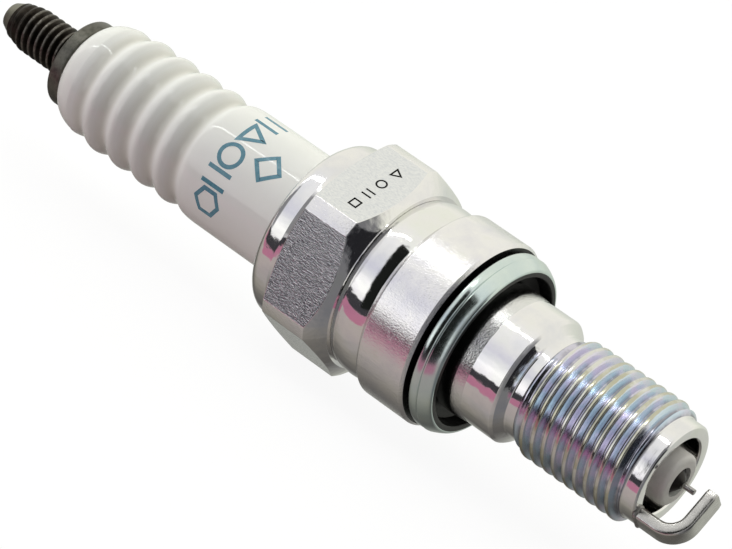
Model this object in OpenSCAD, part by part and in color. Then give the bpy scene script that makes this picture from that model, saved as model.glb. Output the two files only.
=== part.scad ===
// Spark plug with a 10 mm half-threaded reach, a 16 mm hexagon and a fine-wire centre electrode.
// Millimetres. The origin is on the plug's axis in the plane of the shell's gasket seat.
// +Z runs to the terminal, -Z to the electrodes, and the ground electrode stands at -X.

/* [Mounting thread] */
// Diameter over the crests of the mounting thread
thread_d = 9.88; // [9.7:0.02:9.96]
// Pitch of the mounting thread
thread_pitch = 1; // [1:0.25:1.25]
// Distance from the gasket seat to the end face of the shell
reach = 19; // [19:0.1:19.4]
// Length of the threaded stretch of the shell
thread_length = 9.9; // [9:0.1:10]

/* [Shell] */
// Width across the flats of the hexagon
hex_flats = 16; // [15.8:0.05:16.2]
// Diameter to which the hexagon's corners are turned down
hex_corner_d = 17.8; // [17.4:0.1:18]
// Diameter of the smooth cylinder above the gasket
seat_d = 15.7; // [15.5:0.1:16]
// Diameter of the plain shank below the gasket
shank_d = 10.56; // [10.5:0.02:10.7]
// Diameter of the plain pilot at the end of the shell
nose_d = 8.52; // [8.4:0.02:8.6]
// Diameter of the firing chamber's mouth
chamber_d = 6.36; // [6.2:0.02:6.5]

/* [Gasket] */
// Outer diameter of the folded gasket
gasket_d = 15; // [14.6:0.1:15.4]
// Height of the gasket before it is crushed
gasket_h = 1.95; // [1.8:0.05:2]
// Gap between the gasket and its seat as the plug lies
gasket_gap = 0.25; // [0.22:0.01:0.3]

/* [Insulator] */
// Diameter of the smooth upper stretch of the insulator
insulator_d = 10.08; // [10:0.02:10.12]
// Height of the insulator's top above the gasket seat
insulator_top = 39.75; // [39.5:0.05:40]
// Number of grooves that form the ribs
groove_count = 5; // [3:1:5]
// Spacing of the grooves
groove_pitch = 2.52; // [2.4:0.02:2.6]
// Diameter of the insulator nose at its tip
nose_ceramic_d = 4.24; // [4.1:0.02:4.4]

/* [Terminal] */
// Diameter over the crests of the terminal thread
stud_d = 3.9; // [3.8:0.02:3.98]
// Pitch of the terminal thread
stud_pitch = 0.7; // [0.7:0.05:0.8]
// Height of the stud's tip above the gasket seat
stud_top = 48.65; // [48:0.05:49]
// Diameter of the flange that closes the insulator
flange_d = 7.52; // [7.2:0.02:7.6]

/* [Electrodes] */
// Diameter of the fine-wire tip
wire_d = 0.46; // [0.4:0.02:0.6]
// Distance between the fine-wire tip and the ground electrode
spark_gap = 0.9; // [0.7:0.05:1]
// Width of the ground electrode's strip
strap_w = 2; // [1.8:0.05:2.2]
// Thickness of the ground electrode's strip
strap_t = 1; // [0.9:0.05:1.05]

/* [Hidden] */

fit = 0.02;                 // air between two pieces packed face to face
fine = 96;                  // segments of a round surface when it is drawn

// Shell, from the electrode end to the terminal end
thread_crest_r = thread_d / 2;
thread_root_r = thread_crest_r - 0.5413 * thread_pitch;
nose_r = nose_d / 2;
thread_low = -reach + 1.3;
thread_high = thread_low + thread_length;
neck_r = thread_root_r - 0.06;
neck_high = thread_high + 0.85;
shank_low = neck_high + 0.75;
shank_r = shank_d / 2;
groove_r = 5;               // retaining groove of the gasket, under the seat
groove_low = -1.2;
seat_r = seat_d / 2;
seat_high = 4.5;
waist_low_r = 6.95;
waist_bulge_r = 7.4;
waist_high = 7.65;
hex_low_r = 7.55;
hex_low = 8.1;              // heights at which the chamfers meet the middle of a flat
hex_high = 13.2;
hex_low_slope = 0.75;       // change of height of each chamfer for a millimetre of radius
hex_high_slope = 0.4;
hex_r = hex_flats / 2;
hex_corner_r = hex_corner_d / 2;
hex_turn = 23.5;            // angle from +X to the first corner of the hexagon
crimp_r = 7.45;
crimp_round = 0.9;
shell_top = 15.75;
crimp_mouth_r = insulator_d / 2 + 0.08;
chamber_r = chamber_d / 2;
ledge_z = -9.5;             // conical seat of the insulator inside the shell
ledge_slope = 0.8;
lower_bore_r = 3.95;
body_bore_low = 2.6;
body_bore_r = 6.1;
lip_under = 15;

// Insulator
insulator_r = insulator_d / 2;
ceramic_tip_z = -reach - 0.7;
ceramic_tip_r = nose_ceramic_d / 2;
leg_r = 2.95;
lower_body_r = 3.85;
body_r = 5.95;
body_high = 11.4;
neck_start = 12.6;
barrel_low = 15.95;         // start of the barrel's true cylinder, just above the shell's lip
cap_r = 4.72;               // end cap above the last groove
rib_r = 4.97;
groove_valley_r = 4.52;
top_groove_z = 36.6;
stem_bore_r = 1.6;
tip_bore_r = 1.23;
bore_step_z = -5.6;
washer_t = 0.3;

// Packing between the insulator and the shell
wire_ring_r = 0.45;
lower_ring_z = 12.66;
upper_ring_z = lip_under - wire_ring_r - fit;
ring_centre_r = body_bore_r - wire_ring_r - 3 * fit;

// Terminal stud
stud_crest_r = stud_d / 2;
stud_root_r = stud_crest_r - 0.5413 * stud_pitch;
flange_r = flange_d / 2;
flange_low = insulator_top + fit;
flange_high = 40.95;
stem_r = 1.4;
stem_low = 8.5;
stem_thick_low = 12.5;

// Electrodes and the conducting column in the insulator
electrode_r = 1.15;
electrode_head_r = 1.52;
head_top = -4.4;
tip_cone_low = -reach - 1;
tip_cone_high = tip_cone_low + 0.7;
wire_low = -reach - 2.05;
wire_root = tip_cone_low + 0.45;
copper_r = 0.6;
copper_low = -17.5;
lower_seal_top = -1.5;
resistor_top = 6.5;
upper_seal_top = 10;
strap_low = wire_low - spark_gap - strap_t;
strap_mid_z = strap_low + strap_t / 2;
strap_mid_x = -(nose_r - strap_t / 2 - 0.02);
strap_bend_r = 1.7;
strap_end_x = 0.6;
strap_round = 0.28;

// Points along an elliptical arc about (cx, cz), from angle a0 to a1 in n steps
function arc(cx, cz, rx, rz, a0, a1, n) =
    [for (i = [0:n]) let (a = a0 + (a1 - a0) * i / n) [cx + rx * cos(a), cz + rz * sin(a)]];

// Share of the full thread depth at height z: the thread runs out at both ends
function run_out(z, low, high, low_fade, high_fade) =
    max(0, min(1, (z - low) / low_fade, (high - z) / high_fade));

// A screw thread as one closed solid between two flat ends. The grid follows the helix:
// each column is one angle, and each pitch along it has two root and two crest corners.
module thread_solid(crest_r, root_r, pitch, low, high, low_fade, high_fade, columns) {
    corners = [[0, 0], [0.25, 0], [0.5625, 1], [0.6875, 1]];
    turns = ceil((high - low) / pitch) + 2;
    rows = 4 * turns;
    function height(i, j) = low + pitch * (floor(j / 4) - 1.5 + i / columns + corners[j % 4][0]);
    function share(i, j) =
        corners[j % 4][1] * run_out(height(i, j), low, high, low_fade, high_fade);
    function corner(i, j) = let (
        r = root_r + (crest_r - root_r) * share(i, j),
        a = 360 * i / columns
    ) [r * cos(a), r * sin(a), max(low, min(high, height(i, j)))];
    // One row more than a turn on the seam, so that the last column meets the first, a pitch on
    points = [for (i = [0:columns - 1]) for (j = [0:rows + 3]) corner(i, j)];
    stride = rows + 4;
    function at(i, j) = i < columns ? i * stride + j : j + 4;
    low_centre = columns * stride;
    walls = [
        for (i = [0:columns - 1]) for (j = [0:rows - 2])
            for (face = [[at(i, j), at(i, j + 1), at(i + 1, j + 1)],
                         [at(i, j), at(i + 1, j + 1), at(i + 1, j)]]) face
    ];
    seam_low = [for (j = [0:3]) [at(0, j), low_centre, at(0, j + 1)]];
    seam_high = [for (j = [0:3])
        [at(0, rows - 1 + j), at(0, rows + j), low_centre + 1]];
    ends = [
        for (i = [0:columns - 1])
            for (face = [[at(i, 0), at(i + 1, 0), low_centre],
                         [at(i, rows - 1), low_centre + 1, at(i + 1, rows - 1)]]) face
    ];
    function apart(face) = points_all[face[0]] != points_all[face[1]]
        && points_all[face[1]] != points_all[face[2]] && points_all[face[0]] != points_all[face[2]];
    points_all = concat(points, [[0, 0, low], [0, 0, high]]);
    polyhedron(points_all, [for (face = concat(walls, seam_low, seam_high, ends)) if (apart(face)) face]);
}

// A flat strip's section with rounded edges
module strip_section(width, thickness, round_r) {
    square([width, thickness - 2 * round_r], center = true);
    square([width - 2 * round_r, thickness], center = true);
    for (x = [-1, 1], y = [-1, 1])
        translate([x * (width / 2 - round_r), y * (thickness / 2 - round_r)])
            circle(r = round_r, $fn = 24);
}

// Outside of the shell below the hexagon, without its thread
module shell_lower_body() {
    rotate_extrude($fn = fine)
        polygon(concat(
            [[0, -reach], [nose_r - 0.2, -reach], [nose_r, -reach + 0.2],
             [nose_r, thread_low - 0.15], [neck_r, thread_low], [neck_r, neck_high],
             [shank_r - 0.2, shank_low - 0.25], [shank_r, shank_low],
             [shank_r, groove_low - 0.1], [groove_r, groove_low], [groove_r, 0],
             [seat_r - 0.24, 0], [seat_r, 0.25]],
            arc(seat_r - 0.3, seat_high - 0.3, 0.3, 0.3, 0, 90, 4),
            [[waist_low_r + 0.2, seat_high], [waist_low_r, seat_high + 0.25]],
            arc(waist_low_r - 0.1, (seat_high + waist_high) / 2 + 0.15,
                waist_bulge_r - waist_low_r + 0.1, 1.6, -60, 60, 10),
            [[waist_low_r + 0.08, waist_high + 0.1], [0, waist_high + 0.1]]));
}

// Hexagon with both chamfers turned on
module hexagon() {
    rise = hex_corner_r - hex_r;
    intersection() {
        rotate([0, 0, hex_turn])
            translate([0, 0, waist_high])
                cylinder(r = hex_r / cos(30), h = 7, $fn = 6);
        rotate_extrude($fn = fine)
            polygon([[0, waist_high], [hex_low_r, waist_high], [hex_r, hex_low],
                     [hex_corner_r, hex_low + hex_low_slope * rise],
                     [hex_corner_r, hex_high - hex_high_slope * rise],
                     [crimp_r, hex_high + hex_high_slope * (hex_r - crimp_r)], [0, hex_high + 0.3]]);
    }
}

// Rolled lip that closes the shell over the packing
module crimp_lip() {
    centre_z = shell_top - crimp_round;
    rotate_extrude($fn = fine)
        polygon(concat(
            [[0, hex_high - 0.5], [crimp_r + 0.12, hex_high - 0.5], [crimp_r + 0.12, hex_high + 0.25]],
            arc(crimp_r - crimp_round, centre_z, crimp_round, crimp_round, 0, 90, 10),
            [[0, shell_top]]));
}

// Everything that is hollow in the shell
module shell_bore() {
    rotate_extrude($fn = fine)
        polygon([[0, -reach - 1], [chamber_r + 0.12, -reach - 1], [chamber_r + 0.12, -reach],
                 [chamber_r, -reach + 0.12], [chamber_r, ledge_z],
                 [lower_bore_r, ledge_z + ledge_slope * (lower_bore_r - chamber_r)],
                 [lower_bore_r, body_bore_low], [body_bore_r, body_bore_low + 1.2],
                 [body_bore_r, lip_under - 0.3], [body_bore_r - 0.3, lip_under],
                 [crimp_mouth_r, lip_under], [crimp_mouth_r, shell_top + 1], [0, shell_top + 1]]);
}

module metal_shell() {
    color("silver")
        difference() {
            union() {
                shell_lower_body();
                hexagon();
                crimp_lip();
                thread_solid(thread_crest_r, thread_root_r, thread_pitch,
                             thread_low, thread_high, 0.5, 0.9, 32);
            }
            shell_bore();
        }
}

// Folded sealing washer, caught in the groove under the seat
module gasket() {
    top = -gasket_gap;
    low = top - gasket_h;
    fold = 0.45 * gasket_h;
    r = gasket_d / 2;
    lip_r = groove_r + 0.14;
    color("lightslategray")
        rotate_extrude($fn = fine)
            polygon(concat(
                [[lip_r, top], [lip_r, top - 0.45], [5.9, top - 0.55], [6.3, top - fold]],
                [[6.3, low + 0.15], [6.4, low]],
                arc(r - 0.659, low + 0.29, 0.29, 0.29, -90, -41, 5),
                arc(r - 1.935, low + 1.399, 1.98, 1.98, -37, -13, 5),
                arc(r - 0.15, top - fold, 0.13, 0.14, -70, -180, 3),
                arc(r - 0.15, top - fold, 0.13, 0.14, 180, 70, 3),
                arc(r - 0.5, top - 0.35, 0.48, 0.35, 0, 90, 6)));
}

// Outline of the insulator's ribbed top, from its smooth barrel up
function ribbed_outline() =
    let (lowest = top_groove_z - (groove_count - 1) * groove_pitch,
         depth = rib_r - groove_valley_r)
    concat(
        [[insulator_r, lowest - 2.1], [insulator_r - 0.03, lowest - 1.5]],
        [for (g = [0:groove_count - 1]) for (s = [-4:4])
            let (z = lowest + g * groove_pitch + s * groove_pitch / 9,
                 crest = g == groove_count - 1 && s > 0 ? cap_r : rib_r)
            [crest - (crest - rib_r + depth) * pow(cos(20 * s), 2), z]]);

module insulator() {
    seat_offset = ledge_z + washer_t + 2 * fit;
    color("white")
        difference() {
            rotate_extrude($fn = fine)
                polygon(concat(
                    [[0, ceramic_tip_z], [ceramic_tip_r - 0.45, ceramic_tip_z]],
                    arc(ceramic_tip_r - 0.45, ceramic_tip_z + 0.45, 0.45, 0.45, -75, 0, 5),
                    [[ceramic_tip_r + 0.05, -16.5],
                     [leg_r, seat_offset + ledge_slope * (leg_r - chamber_r)],
                     [lower_body_r, seat_offset + ledge_slope * (lower_body_r - chamber_r)],
                     [lower_body_r, body_bore_low + 0.2], [body_r, body_bore_low + 1.4],
                     [body_r, body_high], [insulator_r - 0.05, neck_start],
                     [insulator_r, barrel_low]],
                    ribbed_outline(),
                    arc(cap_r - 1.3, insulator_top - 2.4, 1.3, 2.4, 8, 82, 9),
                    [[0, insulator_top]]));
            translate([0, 0, ceramic_tip_z - 1])
                cylinder(r = tip_bore_r, h = 20, $fn = fine);
            translate([0, 0, bore_step_z])
                cylinder(r = stem_bore_r, h = insulator_top - bore_step_z + 1, $fn = fine);
            translate([0, 0, bore_step_z - 0.45])
                cylinder(r1 = tip_bore_r, r2 = stem_bore_r, h = 0.46, $fn = fine);
        }
}

// Round wire bent to a ring
module wire_ring(z) {
    rotate_extrude($fn = fine)
        translate([ring_centre_r, z])
            circle(r = wire_ring_r, $fn = 32);
}

module upper_wire_ring() {
    color("gray") wire_ring(upper_ring_z);
}

module lower_wire_ring() {
    color("gray") wire_ring(lower_ring_z);
}

module talc_fill() {
    low = lower_ring_z + wire_ring_r + fit;
    high = upper_ring_z - wire_ring_r - fit;
    color("gainsboro")
        rotate_extrude($fn = fine)
            polygon([[insulator_r + 0.04, low], [body_bore_r - 0.04, low],
                     [body_bore_r - 0.04, high], [insulator_r + 0.04, high]]);
}

// Thin conical washer that seals the insulator against the shell's ledge
module seat_washer() {
    in_r = chamber_r + 0.05;
    out_r = lower_body_r;
    in_z = ledge_z + fit + ledge_slope * (in_r - chamber_r);
    out_z = ledge_z + fit + ledge_slope * (out_r - chamber_r);
    color("darkgray")
        rotate_extrude($fn = fine)
            polygon([[in_r, in_z], [out_r, out_z], [out_r, out_z + washer_t], [in_r, in_z + washer_t]]);
}

// Threaded stud, flange and the stem that reaches down into the upper glass seal
module terminal_stud() {
    lead_low = stud_top - 0.95;
    color("dimgray")
        union() {
            rotate_extrude($fn = fine)
                polygon([[0, stem_low], [stem_r - 0.3, stem_low], [stem_r - 0.1, stem_low + 0.3],
                         [stem_r - 0.1, stem_thick_low - 0.2], [stem_r, stem_thick_low],
                         [stem_r, flange_low], [flange_r - 0.1, flange_low],
                         [flange_r, flange_low + 0.1], [flange_r, flange_high - 0.22],
                         [flange_r - 0.22, flange_high], [stud_root_r - 0.05, flange_high],
                         [stud_root_r - 0.05, lead_low], [stud_root_r - 0.1, lead_low + 0.05],
                         [1.1, stud_top - 0.06], [1.02, stud_top], [0, stud_top]]);
            thread_solid(stud_crest_r, stud_root_r, stud_pitch,
                         flange_high - 0.05, lead_low, 0.25, 1.5, 24);
            for (k = [0:2])
                translate([0, 0, stem_low + 0.8 + 1.1 * k])
                    cylinder(r = stem_r, h = 0.6, $fn = fine);
        }
}

// Conducting glass that locks the stud's stem in the insulator
module upper_glass_seal() {
    color("dimgray")
        difference() {
            translate([0, 0, resistor_top + fit])
                cylinder(r = stem_bore_r - fit, h = upper_seal_top - resistor_top, $fn = fine);
            translate([0, 0, stem_low - fit])
                cylinder(r = stem_r + fit, h = 5, $fn = fine);
        }
}

module resistor() {
    color("saddlebrown")
        translate([0, 0, lower_seal_top + fit])
            cylinder(r = stem_bore_r - fit, h = resistor_top - lower_seal_top - fit, $fn = fine);
}

module lower_glass_seal() {
    color("dimgray")
        translate([0, 0, head_top + fit])
            cylinder(r = stem_bore_r - fit, h = lower_seal_top - head_top - fit, $fn = fine);
}

// Nickel electrode with a seated head, a copper-filled blind bore and a socket for the fine wire
module centre_electrode() {
    color("dimgray")
        difference() {
            rotate_extrude($fn = fine)
                polygon([[0, tip_cone_low], [0.34, tip_cone_low], [0.5, tip_cone_low + 0.12],
                         [electrode_r, tip_cone_high],
                         [electrode_r, bore_step_z - 0.42], [electrode_head_r, bore_step_z + 0.08],
                         [electrode_head_r, head_top - 0.2], [electrode_head_r - 0.2, head_top],
                         [0, head_top]]);
            translate([0, 0, copper_low])
                cylinder(r = copper_r + fit, h = head_top - copper_low + 1, $fn = fine);
            translate([0, 0, tip_cone_low - 1])
                cylinder(r = wire_d / 2 + 0.01, h = wire_root - tip_cone_low + 1, $fn = 48);
        }
}

module copper_core() {
    color("peru")
        translate([0, 0, copper_low + fit])
            cylinder(r = copper_r, h = head_top - copper_low - 2 * fit, $fn = fine);
}

module fine_wire_tip() {
    color("slategray")
        translate([0, 0, wire_low])
            cylinder(r = wire_d / 2, h = wire_root - fit - wire_low, $fn = 48);
}

// Strip welded to the shell's end face and bent over the fine-wire tip
module ground_electrode() {
    leg_low = strap_mid_z + strap_bend_r;
    root = 0.01;            // the weld face lies this far below the shell's end face
    color("lightgray")
        union() {
            translate([strap_mid_x, 0, leg_low])
                rotate([0, 0, 90])
                    linear_extrude(-reach - root - leg_low)
                        strip_section(strap_w, strap_t, strap_round);
            translate([strap_mid_x + strap_bend_r, 0, leg_low])
                rotate([90, 0, 0])
                    rotate([0, 0, 180])
                        rotate_extrude(angle = 90, $fn = fine)
                            translate([strap_bend_r, 0])
                                rotate([0, 0, 90])
                                    strip_section(strap_w, strap_t, strap_round);
            translate([strap_mid_x + strap_bend_r, 0, strap_mid_z])
                rotate([90, 0, 90])
                    linear_extrude(strap_end_x - strap_mid_x - strap_bend_r)
                        strip_section(strap_w, strap_t, strap_round);
        }
}

terminal_stud();
insulator();
metal_shell();
gasket();
upper_wire_ring();
talc_fill();
lower_wire_ring();
seat_washer();
upper_glass_seal();
resistor();
lower_glass_seal();
centre_electrode();
copper_core();
fine_wire_tip();
ground_electrode();
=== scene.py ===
"""Looks of a spark plug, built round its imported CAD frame.

Lengths are in millimetres until a mesh is made, which scales them to metres. The origin is on the
plug's axis in the plane of the gasket seat, and +Z runs to the terminal. Outlines are lists of (r, z),
and angles are in degrees round the axis from +X.
"""

from math import acos, ceil, cos, degrees, hypot, pi, radians, sin, tan

import bmesh
import bpy
from mathutils import Matrix, Vector, noise


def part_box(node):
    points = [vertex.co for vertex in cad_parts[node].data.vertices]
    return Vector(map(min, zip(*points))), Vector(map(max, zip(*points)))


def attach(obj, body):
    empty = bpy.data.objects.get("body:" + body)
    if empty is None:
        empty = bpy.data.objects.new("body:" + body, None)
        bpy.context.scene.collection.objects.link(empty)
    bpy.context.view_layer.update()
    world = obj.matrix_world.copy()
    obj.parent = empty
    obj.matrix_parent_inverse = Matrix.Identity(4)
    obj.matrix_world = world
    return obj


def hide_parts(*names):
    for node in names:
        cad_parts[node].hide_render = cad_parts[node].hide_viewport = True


MM = 0.001
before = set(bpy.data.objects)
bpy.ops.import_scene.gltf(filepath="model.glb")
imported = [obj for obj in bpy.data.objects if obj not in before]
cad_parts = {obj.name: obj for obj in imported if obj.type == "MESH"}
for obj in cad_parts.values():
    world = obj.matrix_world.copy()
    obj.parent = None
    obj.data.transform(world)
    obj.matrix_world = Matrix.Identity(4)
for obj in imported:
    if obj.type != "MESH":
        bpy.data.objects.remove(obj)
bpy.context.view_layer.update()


# ------------------------ sizes: ends read from the CAD frame, the rest repeated from the CAD

def size_of(node):
    """Lowest and highest corner of a CAD node, in millimetres."""
    low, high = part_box(node)
    return low / MM, high / MM


shell_low, shell_high = size_of("metal_shell")
gasket_low, gasket_top = size_of("gasket")
ceramic_low, ceramic_top = size_of("insulator")
stud_top = size_of("terminal_stud")[1]
needle_low, needle_top = size_of("fine_wire_tip")
strap_low, strap_top = size_of("ground_electrode")
nickel_low = size_of("centre_electrode")[0]

REACH = -shell_low.z
SHELL_TOP = shell_high.z
SEAT_R = 7.85
SEAT_HIGH = 4.5
SHANK_R = 5.28
GROOVE_R = 5.0
GROOVE_LOW = -1.2
FLARE = 0.12                 # extra radius of the shank below its groove, judged; not in the CAD
FLARE_LOW = -2.65
FLARE_FOOT = -3.6
ROOT_DEPTH = 0.5413          # depth of a standard thread, for a millimetre of pitch
THREAD_R = 4.94
THREAD_PITCH = 1.0
THREAD_ROOT_R = THREAD_R - ROOT_DEPTH * THREAD_PITCH
THREAD_LOW = 1.3 - REACH
THREAD_HIGH = THREAD_LOW + 9.9
NECK_R = THREAD_ROOT_R - 0.06
NECK_HIGH = THREAD_HIGH + 0.85
SHANK_LOW = NECK_HIGH + 0.75
NOSE_R = 4.26
CHAMBER_R = 3.18
LEDGE_Z = -9.5
WAIST_LOW_R = 6.95
WAIST_BULGE_R = 7.4
WAIST_HIGH = 7.65
HEX_R = 8.0
HEX_CORNER_R = 8.9
HEX_TURN = 23.5
HEX_LOW = 8.1
HEX_HIGH = 13.2
CRIMP_R = 7.45
CRIMP_ROUND = 0.9
BARREL_R = 5.04
MOUTH_R = BARREL_R + 0.08    # the crimp's mouth round the barrel
BORE_R = 3.95
BORE_TOP_R = 6.1
STUD_R = 1.95
STUD_PITCH = 0.7
STUD_ROOT_R = STUD_R - ROOT_DEPTH * STUD_PITCH
STEM_R = 1.4
FLANGE_R = 3.76
FLANGE_LOW = ceramic_top.z + 0.02
FLANGE_HIGH = 40.95
COLUMNS = 192                # columns of a skin round the axis


# ------------------------ mesh tools

def rounded(corners, steps=4):
    """(r, z) points of an outline whose corners (r, z, radius) are rounded by arcs."""
    points = []
    for k, (r, z, radius) in enumerate(corners):
        here = Vector((r, z))
        if radius <= 0 or k in (0, len(corners) - 1):
            points.append((r, z))
            continue
        before = (Vector(corners[k - 1][:2]) - here).normalized()
        after = (Vector(corners[k + 1][:2]) - here).normalized()
        half = acos(max(-1, min(1, before.dot(after)))) / 2
        reach = radius / tan(half)
        centre = here + (before + after).normalized() * (radius / sin(half))
        first = here + before * reach - centre
        last = here + after * reach - centre
        turn = first.angle_signed(last)
        for step in range(steps + 1):
            arm = Matrix.Rotation(-turn * step / steps, 2) @ first
            points.append((centre.x + arm.x, centre.y + arm.y))
    return points


def arc_points(centre, half_width, half_height, angles):
    """(r, z) points at some angles on a circle or an ellipse."""
    r, z = centre
    return [(r + half_width * cos(radians(a)), z + half_height * sin(radians(a))) for a in angles]


def new_object(name, bm, materials, sharp=35):
    """An object made from a bmesh in millimetres, smooth but for edges sharper than `sharp` degrees."""
    bmesh.ops.scale(bm, vec=(MM, MM, MM), verts=bm.verts)
    bmesh.ops.recalc_face_normals(bm, faces=bm.faces)
    for face in bm.faces:
        face.smooth = True
    for edge in bm.edges:
        if len(edge.link_faces) == 2:
            edge.smooth = edge.calc_face_angle(0) < radians(sharp)
    mesh = bpy.data.meshes.new(name)
    bm.to_mesh(mesh)
    bm.free()
    piece = bpy.data.objects.new(name, mesh)
    bpy.context.scene.collection.objects.link(piece)
    for material in materials:
        mesh.materials.append(material)
    return piece


def keep_flats_flat(piece):
    """Large faces keep their own normals next to small roundings."""
    weighted = piece.modifiers.new("weighted", "WEIGHTED_NORMAL")
    weighted.keep_sharp = True
    weighted.weight = 100
    return piece


def join_rings(bm, rings, closed=True):
    """Quads between each ring of points and the next."""
    count = len(rings[0])
    for k in range(len(rings) if closed else len(rings) - 1):
        here, there = rings[k], rings[(k + 1) % len(rings)]
        for j in range(count):
            after = (j + 1) % count
            bm.faces.new((here[j], there[j], there[after], here[after]))


def even_angles(count):
    """Angles of a full turn in equal steps."""
    return [360 * k / count for k in range(count + 1)]


def turned(rows, angles=None, closed=True, crest=None, zone=None):
    """A skin round the axis. rows(angle) is one column's list of (r, z), as long for every angle.

    closed joins the last row to the first, as on a ring. crest(angle, row) is stored for each point,
    and zone(row) is the material index of the faces between that row and the next.
    """
    angles = angles or even_angles(COLUMNS)
    bm = bmesh.new()
    layer = bm.verts.layers.float.new("crest")
    grid = []
    for angle in angles:
        c, s = cos(radians(angle)), sin(radians(angle))
        column = []
        for row, (r, z) in enumerate(rows(angle)):
            vert = bm.verts.new((r * c, r * s, z))
            vert[layer] = crest(angle, row) if crest else 0
            column.append(vert)
        grid.append(column)
    count = len(grid[0])
    for left, right in zip(grid, grid[1:]):
        for row in range(count if closed else count - 1):
            above = (row + 1) % count
            face = bm.faces.new((left[row], right[row], right[above], left[above]))
            face.material_index = zone(row) if zone else 0
    bmesh.ops.remove_doubles(bm, verts=bm.verts, dist=1e-4)
    return bm


def run_out(z, low, high, low_fade, high_fade):
    """Share of the full thread depth at height z."""
    return max(0.0, min(1.0, (z - low) / low_fade, (high - z) / high_fade))


# One pitch of a thread, rounded at crest and root: (share of the pitch, share of the depth)
THREAD_SHAPE = [
    (0.00, 0.03), (0.06, 0.0), (0.12, 0.03), (0.17, 0.10), (0.26, 0.36), (0.36, 0.68), (0.44, 0.90),
    (0.485, 0.975), (0.54, 1.0), (0.67, 1.0), (0.725, 0.975), (0.77, 0.90), (0.85, 0.66), (0.94, 0.30),
]


def thread_rows(crest_r, root_r, pitch, low, high, low_fade, high_fade):
    """A helical thread between two flat ends: rows(angle), depth(angle, row) and its count of rows."""
    per_turn = len(THREAD_SHAPE)
    total = per_turn * (ceil((high - low) / pitch) + 2)

    def height(angle, row):
        turn, corner = divmod(row, per_turn)
        return low + pitch * (turn - 1.4 + angle / 360 + THREAD_SHAPE[corner][0])

    def depth(angle, row):
        share = THREAD_SHAPE[row % per_turn][1]
        return share * run_out(height(angle, row), low, high, low_fade, high_fade)

    def rows(angle):
        return [
            (root_r + (crest_r - root_r) * depth(angle, row), max(low, min(high, height(angle, row))))
            for row in range(total)
        ]

    return rows, depth, total


# ------------------------ material tools

def new_material(name):
    """A material, its node tree and its shader."""
    material = bpy.data.materials.new(name)
    material.use_nodes = True
    nodes = material.node_tree.nodes
    return material, material.node_tree, nodes["Principled BSDF"]


def add(tree, kind, inputs=None, **settings):
    """A node with its settings; inputs maps a socket to a value or to another node's output."""
    node = tree.nodes.new(kind)
    for key, value in settings.items():
        setattr(node, key, value)
    for key, value in (inputs or {}).items():
        if isinstance(value, bpy.types.NodeSocket):
            tree.links.new(value, node.inputs[key])
        else:
            node.inputs[key].default_value = value
    return node


def ramp(tree, factor, stops, interpolation="LINEAR"):
    """Colour output of a colour ramp with stops (position, colour)."""
    node = add(tree, "ShaderNodeValToRGB", {"Fac": factor})
    node.color_ramp.interpolation = interpolation
    elements = node.color_ramp.elements
    while len(elements) < len(stops):
        elements.new(0.5)
    for element, (position, colour) in zip(elements, stops):
        element.position = position
        element.color = (*colour, 1) if len(colour) == 3 else colour
    return node.outputs["Color"]


def grey(value):
    """A neutral colour, which also serves a ramp that gives a plain value."""
    return (value, value, value)


def object_space(tree, scale=(1, 1, 1)):
    """Object coordinates in millimetres, stretched by scale."""
    coordinate = add(tree, "ShaderNodeTexCoord")
    inputs = {"Vector": coordinate.outputs["Object"], "Scale": tuple(s / MM for s in scale)}
    return add(tree, "ShaderNodeMapping", inputs).outputs[0]


def noise_of(tree, vector, scale, detail=4.0, roughness=0.55):
    """Height output of a noise texture."""
    inputs = {"Vector": vector, "Scale": scale, "Detail": detail, "Roughness": roughness}
    return add(tree, "ShaderNodeTexNoise", inputs).outputs["Fac"]


def mixed(tree, factor, first, second, blend="MIX"):
    """Colour output of a mix of two colours or colour outputs."""
    node = tree.nodes.new("ShaderNodeMix")
    node.data_type = "RGBA"
    node.blend_type = blend
    for socket, value in ((node.inputs[0], factor), (node.inputs[6], first), (node.inputs[7], second)):
        if isinstance(value, bpy.types.NodeSocket):
            tree.links.new(value, socket)
        else:
            socket.default_value = (*value, 1) if isinstance(value, tuple) and len(value) == 3 else value
    return node.outputs[2]


def calc(tree, operation, *values):
    """Output of a math node; values are numbers or outputs."""
    node = add(tree, "ShaderNodeMath", operation=operation)
    for socket, value in zip(node.inputs, values):
        if isinstance(value, bpy.types.NodeSocket):
            tree.links.new(value, socket)
        else:
            socket.default_value = value
    return node.outputs[0]


def crest_share(tree):
    """The share that turned() stored for each point: 0 in a valley or a root, 1 on a crest."""
    return add(tree, "ShaderNodeAttribute", attribute_name="crest").outputs["Fac"]


def bumped(tree, shader, *layers):
    """Adds bump layers (height output, depth in millimetres) to the shader's normal."""
    normal = None
    for height, depth in layers:
        inputs = {"Height": height, "Distance": depth * MM, "Strength": 1.0}
        if normal is not None:
            inputs["Normal"] = normal
        normal = add(tree, "ShaderNodeBump", inputs).outputs[0]
    tree.links.new(normal, shader.inputs["Normal"])


def set_up(tree, shader, colour, roughness, metallic=1.0, **values):
    """Links or sets the shader's main sockets."""
    for name, value in (("Base Color", colour), ("Roughness", roughness)):
        if isinstance(value, bpy.types.NodeSocket):
            tree.links.new(value, shader.inputs[name])
        else:
            shader.inputs[name].default_value = (*value, 1) if isinstance(value, tuple) else value
    shader.inputs["Metallic"].default_value = metallic
    for name, value in values.items():
        shader.inputs[name.replace("_", " ")].default_value = value


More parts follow.
